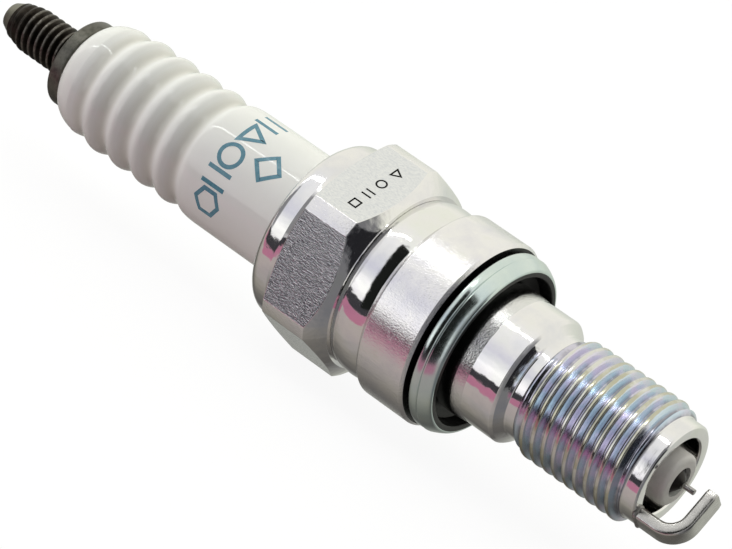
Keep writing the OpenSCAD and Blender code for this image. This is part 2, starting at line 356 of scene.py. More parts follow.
def around_axis(tree, across, along):
    """Coordinates (angle times across; radius and height times along) for marks on a turned surface."""
    coordinate = add(tree, "ShaderNodeTexCoord")
    parts = add(tree, "ShaderNodeSeparateXYZ", {"Vector": coordinate.outputs["Object"]})
    angle = calc(tree, "ARCTAN2", parts.outputs["Y"], parts.outputs["X"])
    x_square = calc(tree, "MULTIPLY", parts.outputs["X"], parts.outputs["X"])
    y_square = calc(tree, "MULTIPLY", parts.outputs["Y"], parts.outputs["Y"])
    radius = calc(tree, "SQRT", calc(tree, "ADD", x_square, y_square))
    return add(tree, "ShaderNodeCombineXYZ", {
        "X": calc(tree, "MULTIPLY", angle, across),
        "Y": calc(tree, "MULTIPLY", radius, along / MM),
        "Z": calc(tree, "MULTIPLY", parts.outputs["Z"], along / MM),
    }).outputs[0]


# ------------------------ materials

def plated_mirror():
    """Bright plating on the turned waist, crimp lip and chamfers."""
    material, tree, shader = new_material("plated_mirror")
    place = object_space(tree)
    cloud = noise_of(tree, place, 0.35, 3)
    tints = [(0.3, (0.74, 0.74, 0.76)), (0.5, (0.82, 0.81, 0.80)), (0.7, (0.80, 0.81, 0.76))]
    colour = ramp(tree, cloud, tints)
    rings = noise_of(tree, around_axis(tree, 1.0, 9.0), 2.2, 3)
    roughness = ramp(tree, noise_of(tree, place, 2.5, 5), [(0.3, grey(0.04)), (0.75, grey(0.11))])
    set_up(tree, shader, colour, roughness)
    waves = noise_of(tree, object_space(tree, (1, 1, 0.7)), 0.7, 2)
    bumped(tree, shader, (waves, 0.042), (rings, 0.0012), (noise_of(tree, place, 9, 4), 0.0016))
    return material


def plated_satin(name, dark, light, warm, rough):
    """Satin plating with fine speckle, on the seat's cylinder and, duller and darker with painted shade,
    under the gasket.
    """
    material, tree, shader = new_material(name)
    place = object_space(tree)
    cloud = noise_of(tree, place, 0.5, 4)
    colour = ramp(tree, cloud, [(0.3, dark), (0.55, light), (0.75, warm)])
    speckle = noise_of(tree, object_space(tree, (1, 1, 0.8)), 7.5, 3, 0.6)
    roughness = ramp(tree, speckle, [(0.35, grey(rough)), (0.7, grey(rough + 0.1))])
    set_up(tree, shader, colour, roughness)
    rings = noise_of(tree, around_axis(tree, 0.8, 6.0), 3.0, 3)
    bumped(tree, shader, (speckle, 0.022), (rings, 0.0025))
    return material


def plated_grain():
    """Flats of the hexagon: pressed steel with a coarse grain, streaked along the axis."""
    material, tree, shader = new_material("plated_grain")
    streaked = object_space(tree, (1, 1, 0.3))
    grain = noise_of(tree, streaked, 13, 3, 0.6)
    pits = noise_of(tree, object_space(tree, (1, 1, 0.5)), 7, 2, 0.5)
    colour = ramp(tree, grain, [(0.35, (0.66, 0.68, 0.71)), (0.6, (0.79, 0.80, 0.80))])
    roughness = ramp(tree, pits, [(0.3, grey(0.06)), (0.7, grey(0.11))])
    set_up(tree, shader, colour, roughness)
    bumped(tree, shader, (grain, 0.009), (pits, 0.007))
    return material


def plated_thread():
    """Thread with the thin-film colours of its passivated plating."""
    material, tree, shader = new_material("plated_thread")
    place = object_space(tree)
    depth = crest_share(tree)
    cloud = noise_of(tree, place, 1.1, 3)
    film = calc(tree, "ADD", depth, calc(tree, "MULTIPLY", calc(tree, "SUBTRACT", cloud, 0.5), 0.35))
    bluish = ramp(tree, film, [
        (0.0, (0.30, 0.30, 0.34)), (0.14, (0.44, 0.50, 0.58)), (0.4, (0.58, 0.69, 0.78)),
        (0.84, (0.60, 0.70, 0.77)), (0.93, (0.54, 0.53, 0.42)), (1.0, (0.50, 0.49, 0.38)),
    ])
    lilac = ramp(tree, film, [
        (0.0, (0.62, 0.60, 0.68)), (0.4, (0.68, 0.66, 0.80)), (0.84, (0.72, 0.69, 0.80)),
        (1.0, (0.70, 0.70, 0.65)),
    ])
    patches = ramp(tree, noise_of(tree, place, 0.55, 3), [(0.42, grey(0)), (0.6, grey(1))])
    colour = mixed(tree, patches, bluish, lilac)
    roughness = ramp(tree, noise_of(tree, place, 5, 4), [(0.3, grey(0.12)), (0.7, grey(0.24))])
    set_up(tree, shader, colour, roughness)
    bumped(tree, shader, (noise_of(tree, around_axis(tree, 2.0, 8.0), 3, 4), 0.003))
    return material


def gasket_steel():
    """Smooth bluish-green passivated strip."""
    material, tree, shader = new_material("gasket_steel")
    place = object_space(tree)
    cloud = noise_of(tree, place, 0.6, 3)
    colour = ramp(tree, cloud, [(0.3, (0.58, 0.67, 0.66)), (0.7, (0.66, 0.74, 0.70))])
    roughness = ramp(tree, noise_of(tree, place, 4, 4), [(0.3, grey(0.12)), (0.7, grey(0.2))])
    set_up(tree, shader, colour, roughness)
    bumped(tree, shader, (noise_of(tree, around_axis(tree, 1.0, 7.0), 2.4, 3), 0.002))
    return material


def ceramic_glaze():
    """White alumina under a clear glaze, with painted shade in the rib valleys."""
    material, tree, shader = new_material("ceramic_glaze")
    place = object_space(tree)
    cloud = noise_of(tree, place, 0.25, 3)
    depth = crest_share(tree)
    glaze = ramp(tree, cloud, [(0.3, (0.89, 0.90, 0.85)), (0.7, (0.92, 0.93, 0.89))])
    # Painted shade: the glaze darkens towards the bottom of each rib valley.
    painted_valley_shade = ramp(tree, depth, [(0.0, (0.76, 0.75, 0.71)), (0.3, (0.92, 0.91, 0.89)), (0.6, grey(1))])
    colour = mixed(tree, 1.0, glaze, painted_valley_shade, "MULTIPLY")
    roughness = ramp(tree, noise_of(tree, place, 3, 3), [(0.3, grey(0.02)), (0.7, grey(0.05))])
    set_up(tree, shader, colour, roughness, 0.0, Specular_IOR_Level=0.5)
    bumped(tree, shader, (noise_of(tree, place, 0.8, 2), 0.004))
    return material


def ceramic_bare():
    """Unglazed alumina of the firing end."""
    material, tree, shader = new_material("ceramic_bare")
    place = object_space(tree)
    cloud = noise_of(tree, place, 1.4, 4)
    colour = ramp(tree, cloud, [(0.3, (0.84, 0.82, 0.78)), (0.7, (0.92, 0.90, 0.86))])
    set_up(tree, shader, colour, 0.7, 0.0)
    bumped(tree, shader, (noise_of(tree, place, 12, 4), 0.006))
    return material


def blue_ink():
    """Fired blue marking ink."""
    material, tree, shader = new_material("blue_ink")
    place = object_space(tree)
    cover = noise_of(tree, place, 3.5, 5)
    colour = ramp(tree, cover, [(0.3, (0.08, 0.24, 0.32)), (0.7, (0.14, 0.33, 0.41))])
    set_up(tree, shader, colour, 0.22, 0.0)
    bumped(tree, shader, (cover, 0.002))
    return material


def oxide_steel(name, dark, light, crest_light):
    """Blackened steel; its worn crests are lighter."""
    material, tree, shader = new_material(name)
    place = object_space(tree)
    depth = crest_share(tree)
    mottle = noise_of(tree, place, 2.2, 5, 0.6)
    skin = ramp(tree, mottle, [(0.3, dark), (0.7, light)])
    crests = ramp(tree, depth, [(0.80, grey(0)), (1.0, grey(1))])
    rubbed = ramp(tree, noise_of(tree, place, 4, 4), [(0.35, grey(0.3)), (0.6, grey(1))])
    worn = calc(tree, "MULTIPLY", crests, rubbed)
    colour = mixed(tree, worn, skin, crest_light)
    roughness = ramp(tree, mottle, [(0.3, grey(0.30)), (0.7, grey(0.48))])
    set_up(tree, shader, colour, roughness)
    bumped(tree, shader, (noise_of(tree, place, 8, 5), 0.008))
    return material


def brushed_nickel(name, tint, rough):
    """Nickel alloy with fine drawing marks along the strip."""
    material, tree, shader = new_material(name)
    place = object_space(tree, (0.5, 6, 0.5))
    streak = noise_of(tree, place, 4, 5)
    cloud = noise_of(tree, object_space(tree), 1.5, 4)
    colour = ramp(tree, cloud, [(0.3, tuple(0.86 * c for c in tint)), (0.7, tint)])
    roughness = ramp(tree, streak, [(0.3, grey(rough - 0.06)), (0.7, grey(rough + 0.08))])
    set_up(tree, shader, colour, roughness)
    bumped(tree, shader, (streak, 0.004))
    return material


def powder(name, dark, light):
    """Pressed powder."""
    material, tree, shader = new_material(name)
    grain = noise_of(tree, object_space(tree), 9, 6, 0.65)
    set_up(tree, shader, ramp(tree, grain, [(0.3, dark), (0.7, light)]), 0.9, 0.0)
    bumped(tree, shader, (grain, 0.02))
    return material


def glassy(name, dark, light):
    """Fused glass that holds metal powder."""
    material, tree, shader = new_material(name)
    flecks = noise_of(tree, object_space(tree), 7, 5, 0.7)
    set_up(tree, shader, ramp(tree, flecks, [(0.35, dark), (0.65, light)]), 0.35, 0.2)
    bumped(tree, shader, (flecks, 0.01))
    return material


def copper():
    """Drawn copper."""
    material, tree, shader = new_material("copper")
    cloud = noise_of(tree, object_space(tree, (1, 1, 0.2)), 3, 4)
    set_up(tree, shader, ramp(tree, cloud, [(0.3, (0.70, 0.34, 0.22)), (0.7, (0.85, 0.46, 0.31))]), 0.3)
    bumped(tree, shader, (cloud, 0.004))
    return material


def precious_metal():
    """Fine ground wire."""
    material, tree, shader = new_material("precious_metal")
    mottle = noise_of(tree, object_space(tree, (1, 1, 0.4)), 9, 4)
    colour = ramp(tree, mottle, [(0.3, (0.24, 0.23, 0.22)), (0.7, (0.46, 0.45, 0.44))])
    set_up(tree, shader, colour, 0.25)
    bumped(tree, shader, (mottle, 0.004))
    return material


# The shell's materials, in the order of the indexes that its faces carry
MIRROR, SATIN, GRAIN, THREAD, PAINTED_SHADE, COLLAR_SHADE = range(6)
# This near-black steel is painted shade, laid where shade falls: in the groove under the seat, inside the
# gasket and in the stamped marks.
painted_shade_steel = oxide_steel("painted_shade_steel", grey(0.02), grey(0.05), grey(0.05))
shell_skins = [
    plated_mirror(),
    plated_satin("plated_satin", (0.76, 0.75, 0.78), (0.84, 0.83, 0.82), (0.80, 0.80, 0.76), 0.10),
    plated_grain(),
    plated_thread(),
    painted_shade_steel,
    # A darker, rougher copy of the seat's satin for the shank under the gasket; its darkness is painted
    # shade.
    plated_satin("plated_collar_painted_shade", (0.60, 0.61, 0.60), (0.74, 0.74, 0.73), (0.68, 0.70, 0.66), 0.13),
]


# ------------------------ shell

CORNER_BLEND = 0.015         # softness of the edge between a flat and its turned corner
LOW_SLOPE = 0.75             # rise of each chamfer for a millimetre of radius
HIGH_SLOPE = 0.4
SEAT_STEPS = 4               # steps of each rounded corner of seat_points()


def hexagon_r(angle):
    """Distance from the axis to the hexagon, corners turned down, at an angle in degrees."""
    off = radians(abs((angle - HEX_TURN + 30) % 60 - 30))
    flat = HEX_R / cos(radians(30) - off)
    overlap = max(CORNER_BLEND - abs(flat - HEX_CORNER_R), 0)
    return min(flat, HEX_CORNER_R) - overlap ** 2 / (4 * CORNER_BLEND)


def hexagon_angles():
    """Columns that are close together where a flat meets its turned corner."""
    edge = 30 - degrees(acos(HEX_R / HEX_CORNER_R))
    near = [0, edge / 3, edge * 2 / 3, edge - 0.4, edge - 0.2, edge, edge + 0.2, edge + 0.4]
    spread = [edge + 1.6 + 1.9 * k for k in range(15)]
    half = near + [a for a in spread if a < 29.5] + [30]
    sector = sorted(set([-a for a in half[:-1]] + half))
    angles = sorted({round((HEX_TURN + 60 * k + a) % 360, 4) for k in range(6) for a in sector})
    start = angles[0]
    return angles + [start + 360]


def shell_profile(angle):
    """One column of the shell from the crimp's mouth to the flat's middle, and from there to the waist."""
    flat = hexagon_r(angle)
    rise = flat - HEX_R
    middle = (HEX_LOW + HEX_HIGH) / 2
    foot_r = CRIMP_R + 0.12
    crimp_foot = HEX_HIGH + HIGH_SLOPE * (HEX_R - foot_r)
    upper = rounded([
        (MOUTH_R, SHELL_TOP - 0.35, 0), (MOUTH_R, SHELL_TOP, 0.12),
        (CRIMP_R, SHELL_TOP, CRIMP_ROUND), (CRIMP_R, crimp_foot + 0.5, 0.4),
        (foot_r, crimp_foot, 0.05), (flat, HEX_HIGH - HIGH_SLOPE * rise, 0.07), (flat, middle, 0),
    ], 5)
    lower = rounded([
        (flat, middle, 0), (flat, HEX_LOW + LOW_SLOPE * rise, 0.07),
        (7.5, WAIST_HIGH - 0.03, 0.05), (WAIST_LOW_R + 0.1, WAIST_HIGH - 0.02, 0.04),
        (WAIST_LOW_R + 0.1, WAIST_HIGH - 0.2, 0),
    ], 4)
    return upper, lower


def waist_points():
    """Bulged waist between the hexagon and the seat's cylinder."""
    centre = (WAIST_LOW_R - 0.1, (SEAT_HIGH + WAIST_HIGH) / 2 + 0.15)
    bulge = arc_points(centre, WAIST_BULGE_R - WAIST_LOW_R + 0.1, 1.6, range(60, -61, -6))
    return bulge + [(WAIST_LOW_R, SEAT_HIGH + 0.22), (WAIST_LOW_R + 0.06, SEAT_HIGH + 0.06)]


def seat_points():
    """Seat cylinder, gasket groove and shank down to the thread."""
    flare_r = SHANK_R + FLARE
    return rounded([
        (WAIST_LOW_R + 0.22, SEAT_HIGH, 0), (SEAT_R, SEAT_HIGH, 0.28), (SEAT_R, 0.25, 0.06),
        (SEAT_R - 0.24, 0, 0.05), (GROOVE_R, 0, 0.15), (GROOVE_R, GROOVE_LOW, 0.12),
        (flare_r, GROOVE_LOW - 0.1, 0.06), (flare_r, FLARE_LOW, 0.1), (SHANK_R, FLARE_FOOT, 0.1),
        (SHANK_R, SHANK_LOW, 0.1), (SHANK_R - 0.2, SHANK_LOW - 0.25, 0.15), (NECK_R, NECK_HIGH, 0.2),
        (NECK_R, THREAD_HIGH + 0.05, 0),
    ], SEAT_STEPS)


def nose_points():
    """Pilot at the shell's end, its end face and the bore back up to the crimp."""
    return rounded([
        (NECK_R, THREAD_LOW - 0.03, 0), (NOSE_R, THREAD_LOW - 0.16, 0.04), (NOSE_R, -REACH + 0.16, 0.08),
        (NOSE_R - 0.16, -REACH, 0.08), (CHAMBER_R + 0.12, -REACH, 0.04), (CHAMBER_R, -REACH + 0.12, 0.04),
        (CHAMBER_R, LEDGE_Z, 0.05), (BORE_R, LEDGE_Z + 0.616, 0), (BORE_R, 2.6, 0), (BORE_TOP_R, 3.8, 0),
        (BORE_TOP_R, 14.7, 0), (5.8, 15, 0), (MOUTH_R, 15, 0),
    ], 3)


def build_shell():
    """The shell as one skin: its upper, lower, waist, seat, thread and nose rows follow one another."""
    rows, depth, thread_total = thread_rows(
        THREAD_R, THREAD_ROOT_R, THREAD_PITCH, THREAD_LOW, THREAD_HIGH, 0.5, 0.9)
    upper, lower = shell_profile(0)
    waist, seat, nose = waist_points(), seat_points(), nose_points()
    lower_at = len(upper)
    seat_at = lower_at + len(lower) + len(waist)
    thread_at = seat_at + len(seat)
    nose_at = thread_at + thread_total
    arc = SEAT_STEPS + 1
    groove_at = seat_at + 1 + 2 * arc + arc // 2
    shank_at = seat_at + 1 + 5 * arc
    flare_end = shank_at + 2 * arc + arc // 2

    def column(angle):
        top, under = shell_profile(angle)
        return top + under + waist + seat + rows(angle)[::-1] + nose

    def crest(angle, row):
        if thread_at <= row < nose_at:
            return depth(angle, thread_total - 1 - (row - thread_at))
        return 0

    def zone(row):
        for start, end, skin in (
            (lower_at - 2, lower_at + 1, GRAIN),
            (seat_at, groove_at, SATIN),
            # Painted shade: the groove under the seat gets the near-black steel, and the shank just under the
            # gasket a darker copy of the satin.
            (groove_at, shank_at, PAINTED_SHADE),
            (shank_at, flare_end, COLLAR_SHADE),
            (thread_at, nose_at, THREAD),
        ):
            if start <= row < end:
                return skin
        return MIRROR

    bm = turned(column, hexagon_angles(), crest=crest, zone=zone)
    for face in bm.faces:
        centre = face.calc_center_median()
        if face.material_index == GRAIN and hypot(centre.x, centre.y) > HEX_CORNER_R - 0.03:
            face.material_index = SATIN
    return keep_flats_flat(new_object("shell_body", bm, shell_skins))


# ------------------------ gasket

GASKET_R = 7.5
LIP_R = 5.14
FACE_R = 6.42                # inner edge of the face that meets the engine
CONE_ROUND = 4.0
FOLD_ROUND = 0.29


def build_gasket():
    """Folded ring: a lip in the groove, an upper fold, a seam, a cone and a lower fold."""
    top, low, r = gasket_top.z, gasket_low.z, GASKET_R
    fold = top - 0.45 * (top - low)
    outline = rounded([(LIP_R, top - 0.45, 0), (LIP_R, top, 0.06), (r, top, 0.36), (r, top - 0.4, 0)], 6)
    outline += arc_points((r - 1, top - 0.4), 1, 1, range(-6, -25, -6))
    outline += [(r - 0.16, fold), (r - 0.04, fold - 0.08)]
    outline += arc_points((r - 3.777, low + 2.296), CONE_ROUND, CONE_ROUND, range(-20, -33, -3))
    outline += arc_points((r - 0.664, low + 0.291), FOLD_ROUND, FOLD_ROUND, range(-36, -91, -9))
    inner_row = len(outline)
    inner = [(r - 0.8, low, 0), (FACE_R, low, 0.1), (FACE_R - 0.12, fold, 0.12), (5.9, top - 0.55, 0)]
    outline += rounded(inner, 5)
    # Painted shade: the faces from the lower fold inward, inside the ring, get the near-black steel.
    bm = turned(lambda angle: outline, zone=lambda row: 1 if row >= inner_row - 1 else 0)
    return keep_flats_flat(new_object("folded_gasket", bm, [gasket_steel(), painted_shade_steel]))


# ------------------------ insulator

GROOVE_COUNT = 5
GROOVE_PITCH = 2.52
TOP_GROOVE_Z = 36.6
RIB_R = 4.97
VALLEY_R = 4.52
CAP_R = 4.72                 # the insulator's end above its top groove
BARREL_ROWS = 4              # rows of ribbed_points() before the first groove
LEG_GLAZED = 4               # rows at the end of the leg's outline that are glazed


def ribbed_points():
    """Outline of the insulator's barrel and ribs, from its collar up."""
    lowest = TOP_GROOVE_Z - (GROOVE_COUNT - 1) * GROOVE_PITCH
    points = [(BARREL_R, 15.95), (BARREL_R, 20), (BARREL_R, lowest - 2.1), (BARREL_R - 0.03, lowest - 1.5)]
    steps = 9
    for groove in range(GROOVE_COUNT):
        for step in range(-steps, steps + 1):
            share = step / (steps + 0.5)
            side = CAP_R if groove == GROOVE_COUNT - 1 and step > 0 else RIB_R
            r = side - (side - VALLEY_R) * cos(radians(90 * share)) ** 2
            points.append((r, lowest + groove * GROOVE_PITCH + share * GROOVE_PITCH / 2))
    return points


def build_insulator():
    """Ribbed and glazed outside, bare leg in the firing chamber, stepped bore."""
    dome_r, dome_height = 1.3, 2.4
    dome = arc_points((CAP_R - dome_r, ceramic_top.z - dome_height), dome_r, dome_height, range(8, 83, 6))
    leg = rounded([
        (1.23, ceramic_low.z, 0.1), (2.12, ceramic_low.z, 0.42), (2.17, -16.5, 0), (2.95, -9.28, 0),
        (3.85, -8.62, 0), (3.85, 2.8, 0), (5.95, 4.0, 0), (5.95, 11.4, 0), (BARREL_R - 0.05, 12.6, 0),
    ], 6)
    bore = [(3.0, ceramic_top.z), (1.6, ceramic_top.z), (1.6, -5.6), (1.23, -6.05)]
    ribs = ribbed_points()
    outline = leg + ribs + dome + bore
    bare = len(leg) - LEG_GLAZED
    ribs_at = len(leg) + BARREL_ROWS
    ribs_end = len(leg) + len(ribs)

    # The glaze's painted valley shade reads this share: 0 in a rib valley, 1 on a crest and off the ribs.
    def crest(angle, row):
        if not ribs_at <= row < ribs_end:
            return 1.0
        side = CAP_R if outline[row][1] > TOP_GROOVE_Z else RIB_R
        return (outline[row][0] - VALLEY_R) / (side - VALLEY_R)

    bm = turned(lambda angle: outline, crest=crest, zone=lambda row: 1 if row < bare else 0)
    skins = [ceramic_glaze(), ceramic_bare()]
    return new_object("ribbed_insulator", bm, skins, 50)


# ------------------------ terminal

AXIS_R = 0.001               # an outline starts or ends this near to the axis, and is merged there
MERGE = 0.002


def build_terminal():
    """Stem, flange, threaded stud and its tapered lead."""
    low_end = FLANGE_HIGH - 0.05
    high_end = stud_top.z - 0.95
    rows, depth, total = thread_rows(STUD_R, STUD_ROOT_R, STUD_PITCH, low_end, high_end, 0.25, 1.5)
    stem = rounded([
        (AXIS_R, 8.5, 0), (STEM_R - 0.3, 8.5, 0), (STEM_R, 9, 0), (STEM_R, FLANGE_LOW, 0),
        (FLANGE_R, FLANGE_LOW, 0.12), (FLANGE_R, FLANGE_HIGH, 0.2), (STUD_ROOT_R, FLANGE_HIGH, 0.08),
        (STUD_ROOT_R, FLANGE_HIGH + 0.1, 0),
    ], 4)[:-1]
    lead = rounded([
        (STUD_ROOT_R - 0.03, high_end, 0), (STUD_ROOT_R - 0.08, high_end + 0.06, 0.03),
        (1.08, stud_top.z - 0.02, 0.06), (0.9, stud_top.z, 0.1), (AXIS_R, stud_top.z - 0.03, 0),
    ], 4)
    thread_at = len(stem)
    lead_at = thread_at + total

    def column(angle):
        return stem + rows(angle) + lead

    def crest(angle, row):
        if thread_at <= row < lead_at:
            return depth(angle, row - thread_at)
        return 0

    def zone(row):
        if row < thread_at:
            return 1
        return 2 if row >= lead_at else 0

    skins = [
        oxide_steel("stud_oxide", (0.020, 0.017, 0.014), (0.050, 0.042, 0.034), (0.17, 0.16, 0.14)),
        oxide_steel("flange_oxide", (0.085, 0.085, 0.072), (0.18, 0.175, 0.15), (0.3, 0.3, 0.3)),
        oxide_steel("lead_oxide", (0.16, 0.15, 0.12), (0.26, 0.25, 0.20), (0.3, 0.3, 0.3)),
    ]
    bm = turned(column, closed=False, crest=crest, zone=zone)
    bmesh.ops.remove_doubles(bm, verts=bm.verts, dist=MERGE)
    return keep_flats_flat(new_object("threaded_terminal", bm, skins))


# ------------------------ electrodes

NEEDLE_R = 0.23
WIRE_HOLE_R = 0.24


def build_centre_electrode(skin):
    """Nickel electrode, hollow round its copper core and its wire."""
    tip = nickel_low.z
    body_r, head_r, hollow_r = 1.15, 1.52, 0.62
    head_z, hollow_z = -4.4, -17.5
    outline = rounded([
        (WIRE_HOLE_R, tip + 0.45, 0), (WIRE_HOLE_R, tip, 0.04), (0.36, tip, 0.05), (0.5, tip + 0.12, 0.1),
        (body_r, tip + 0.7, 0.12), (body_r, -6.02, 0), (head_r, -5.52, 0), (head_r, -4.6, 0),
        (1.3, head_z, 0), (hollow_r, head_z, 0), (hollow_r, hollow_z, 0), (WIRE_HOLE_R, hollow_z, 0),
    ], 4)
    bm = turned(lambda angle: outline, even_angles(64))
    return new_object("nickel_electrode", bm, [skin])


def build_needle():
    """Fine wire at the centre electrode's tip."""
    low, high = needle_low.z, needle_top.z
    outline = rounded([(AXIS_R, low, 0), (NEEDLE_R, low, 0.03), (NEEDLE_R, high, 0.02), (AXIS_R, high, 0)], 3)
    bm = turned(lambda angle: outline, even_angles(48), closed=False)
    bmesh.ops.remove_doubles(bm, verts=bm.verts, dist=MERGE)
    return new_object("fine_wire", bm, [precious_metal()])


STRAP_W = 2.0
STRAP_T = 1.0
STRAP_ROUND = 0.26
STRAP_BEND_R = 1.7
STRAP_X = -(NOSE_R - STRAP_T / 2 - 0.02)     # middle of the strip's upright part
STRAP_END = 0.93                             # the free end's section, as a share of the full one
SKIN_WOBBLE = 0.012                          # height of the unevenness of the strip's skin


def strap_section():
    """Points (across, out) round the strip's section."""
    points = []
    across, out = STRAP_W / 2 - STRAP_ROUND, STRAP_T / 2 - STRAP_ROUND
    for corner, (x, y) in enumerate(((1, 1), (-1, 1), (-1, -1), (1, -1))):
        for step in range(6):
            a = radians(90 * corner + 18 * step)
            points.append((x * across + STRAP_ROUND * cos(a), y * out + STRAP_ROUND * sin(a)))
    return points


def strap_path():
    """(point, outward direction) along the strip, from its weld to its free end."""
    mid_z = strap_low.z + STRAP_T / 2 + SKIN_WOBBLE
    bend_x, bend_z = STRAP_X + STRAP_BEND_R, mid_z + STRAP_BEND_R
    top_z = -REACH - 0.01
    end_x = strap_top.x
    upright, bend, flat = 6, 24, 8
    path = [((STRAP_X, top_z + (bend_z - top_z) * k / upright), (-1, 0)) for k in range(upright)]
    for k in range(bend + 1):
        a = radians(180 + 90 * k / bend)
        path.append(((bend_x + STRAP_BEND_R * cos(a), bend_z + STRAP_BEND_R * sin(a)), (cos(a), sin(a))))
    path += [((bend_x + (end_x - bend_x) * k / flat, mid_z), (0, -1)) for k in range(1, flat + 1)]
    return path


def build_ground_electrode():
    """Strip bent over the centre electrode."""
    bm = bmesh.new()
    bm.verts.layers.float.new("crest")
    rings = []
    path = strap_path()
    last = len(path) - 1
    for k, ((x, z), (out_x, out_z)) in enumerate(path):
        size = STRAP_END if k == last else 1.0
        ring = []
        for across, out in strap_section():
            wobble = SKIN_WOBBLE * noise.noise(Vector((across * 1.7, out * 1.7, k * 0.21)))
            lift = out * size + wobble
            ring.append(bm.verts.new((x + out_x * lift, across * size, z + out_z * lift)))
        rings.append(ring)
    count = len(rings[0])
    for first, second in zip(rings, rings[1:]):
        for j in range(count):
            bm.faces.new((first[j], first[(j + 1) % count], second[(j + 1) % count], second[j]))
    bm.faces.new(rings[0])
    bm.faces.new(rings[-1][::-1])
    skin = brushed_nickel("ground_nickel", (0.62, 0.61, 0.58), 0.26)
    return keep_flats_flat(new_object("ground_strap", bm, [skin], 40))


def build_weld():
    """Beads of weld metal squeezed out round the strip's foot."""
    bm = bmesh.new()
    bm.verts.layers.float.new("crest")
    tube = 10
    rings = []
    for across, out in strap_section():
        size = 0.15 + 0.07 * noise.noise(Vector((across, out, 3.7)) * 2.3)
        centre = Vector((STRAP_X - out, across, -REACH - 0.05))
        direction = Vector((-out, across, 0)).normalized()
        ring = []
        for j in range(tube):
            a = 2 * pi * j / tube
            rise = Vector((0, 0, size * 1.1 * sin(a)))
            ring.append(bm.verts.new(centre + direction * size * cos(a) + rise))
        rings.append(ring)
    join_rings(bm, rings)
    skin = oxide_steel("weld_scale", (0.20, 0.19, 0.18), (0.50, 0.49, 0.47), (0.5, 0.5, 0.5))
    return new_object("weld_flash", bm, [skin], 60)


# ------------------------ generic markings

def ring_path(size, sides, turn=0.0):
    """Corners of a regular figure."""
    angles = [radians(turn + 360 * k / sides) for k in range(sides)]
    return [(size * cos(a), size * sin(a)) for a in angles]


def ribbon(bm, path, width, place, closed=True, step=0.12):
    """A thin solid strip of ink or punch along a path.

    place(x, y, side) gives the point for a path's x and y on side 1, the outer one, or 0, the inner one.
    """
    dense = []
    count = len(path)
    for k in range(count if closed else count - 1):
        a, b = Vector(path[k]), Vector(path[(k + 1) % count])
        pieces = max(1, int((b - a).length / step))
        dense += [a.lerp(b, j / pieces) for j in range(pieces)]
    if not closed:
        dense.append(Vector(path[-1]))
    rows = []
    total = len(dense)
    for k, point in enumerate(dense):
        before = dense[(k - 1) % total] if closed or k else point
        after = dense[(k + 1) % total] if closed or k < total - 1 else point
        first = (point - before).normalized() if point != before else (after - point).normalized()
        second = (after - point).normalized() if after != point else first
        normal_a, normal_b = Vector((-first.y, first.x)), Vector((-second.y, second.x))
        mitre = (normal_a + normal_b).normalized()
        reach = width / 2 / max(0.4, mitre.dot(normal_a))
        left, right = point + mitre * reach, point - mitre * reach
        corners = ((left, 1), (right, 1), (right, 0), (left, 0))
        rows.append([bm.verts.new(place(p.x, p.y, side)) for p, side in corners])
    join_rings(bm, rows, closed)
    if not closed:
        bm.faces.new(rows[0][::-1])
        bm.faces.new(rows[-1])


def figures(size):
    """Generic figures as lists of (path, closed) strokes."""
    shift = size * 0.55
    return {
        "bars": [([(-size, y), (size, y)], False) for y in (-shift, shift)],
        "ring": [(ring_path(size * 0.85, 28), True)],
        "triangle": [(ring_path(size, 3, 180), True)],
        "square": [(ring_path(size * 1.05, 4, 45), True)],
        "hexagon": [(ring_path(size, 6, 0), True)],
        "diamond": [(ring_path(size * 1.05, 4, 0), True)],
    }


PRINT_Z = 22.5
SECOND_PRINT_Z = 19.4
INK_HEIGHT = 0.012
INK_DEPTH = 0.03
STAMP_Z = 10.3
STAMP_DEPTH = 0.09


def build_print():
    """Blue marks fired on to the barrel."""
    bm = bmesh.new()
    bm.verts.layers.float.new("crest")
    shapes = figures(1.12)
    marks = [
        ("hexagon", -143.6, PRINT_Z), ("bars", -119.5, PRINT_Z), ("ring", -96.3, PRINT_Z),
        ("triangle", -69, PRINT_Z), ("bars", -44, PRINT_Z), ("diamond", -87, SECOND_PRINT_Z),
    ]
    for name, angle, height in marks:
        for path, closed in shapes[name]:
            def place(x, y, side, angle=angle, height=height):
                r = BARREL_R + (INK_HEIGHT if side else -INK_DEPTH)
                a = radians(angle) + y / BARREL_R
                return (r * cos(a), r * sin(a), height + x)
            ribbon(bm, path, 0.34, place, closed)
    return new_object("barrel_print", bm, [blue_ink()], 40)


def stamp_cutter():
    """Punch for the marks in one flat of the hexagon."""
    bm = bmesh.new()
    shapes = figures(0.46)
    face = radians(HEX_TURN - 90)
    normal = Vector((cos(face), sin(face), 0))
    across = Vector((-sin(face), cos(face), 0))
    for name, shift in (("square", -2.42), ("bars", -0.96), ("ring", 0.46), ("triangle", 2.08)):
        for path, closed in shapes[name]:
            def place(x, y, side, shift=shift):
                out = HEX_R + (0.05 if side else -STAMP_DEPTH)
                return normal * out + across * (shift + y) + Vector((0, 0, STAMP_Z + x))
            ribbon(bm, path, 0.15, place, closed, 0.2)
    # The cutter's near-black steel passes to the walls and floors of the marks: painted shade in the stamped
    # marks.
    return new_object("stamp_cutter", bm, [painted_shade_steel])


def stamp(shell):
    """Sinks the marks into the shell's flat."""
    cutter = stamp_cutter()
    cut = shell.modifiers.new("stamp", "BOOLEAN")
    cut.object = cutter
    cut.operation = "DIFFERENCE"
    cut.solver = "EXACT"
    cut.material_mode = "TRANSFER"
    bpy.context.view_layer.objects.active = shell
    while shell.modifiers[0] != cut:
        bpy.ops.object.modifier_move_up(modifier=cut.name)
    bpy.ops.object.modifier_apply(modifier=cut.name)
    bpy.data.objects.remove(cutter)
    flatten_flats(shell.data)


